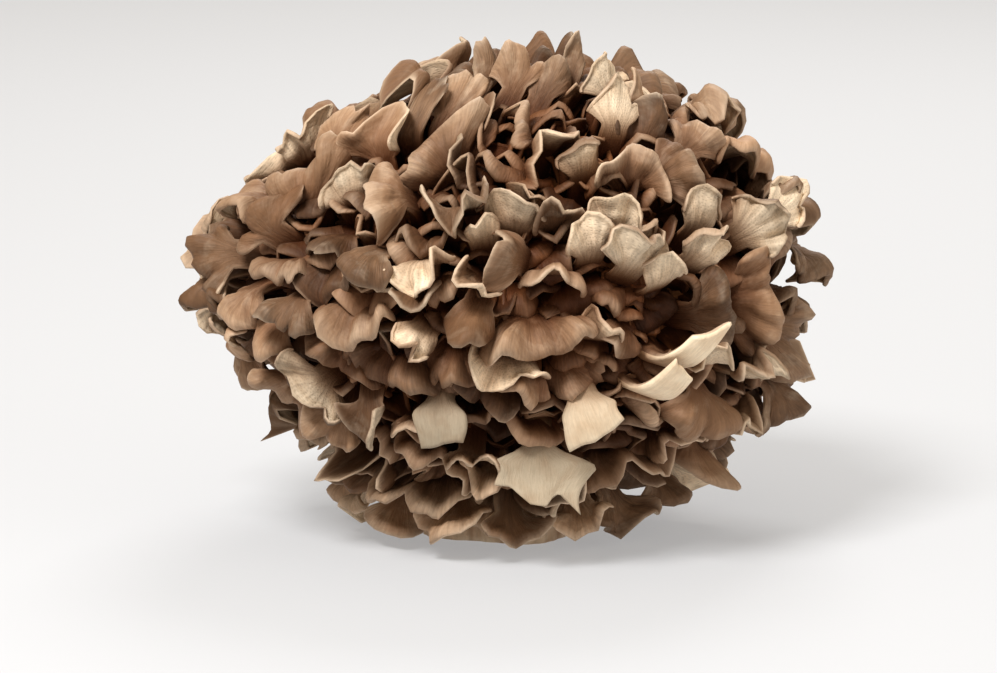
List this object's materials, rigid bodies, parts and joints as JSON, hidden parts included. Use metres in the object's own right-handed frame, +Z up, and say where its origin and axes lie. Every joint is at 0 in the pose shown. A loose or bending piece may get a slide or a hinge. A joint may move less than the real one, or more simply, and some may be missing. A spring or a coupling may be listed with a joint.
{
  "type": "maitake mushroom",
  "caption": "Whole maitake (hen-of-the-woods) head: a dense rosette of thin waved brown fronds grown from one short foot that is cut flat, and stands on it.",
  "frame": {"origin": "middle of the flat cut face of the foot, on which the head stands", "axes": "+Z up from the cut face through the crown; -Y is the side that the picture shows; +X is to the right of that view and is the head's longest extent"},
  "size_m": [0.1854, 0.1677, 0.1426],
  "materials": {
    "frond_brown": "matte, finely fibrous grey-brown cap skin, darker toward the margin",
    "pore_cream": "matte pale cream underside with fine pores",
    "flesh_white": "matte torn or cut flesh, slightly fibrous"
  },
  "bodies": {
    "root": {"maitake": "frond_brown"}
  },
  "joints": []
}
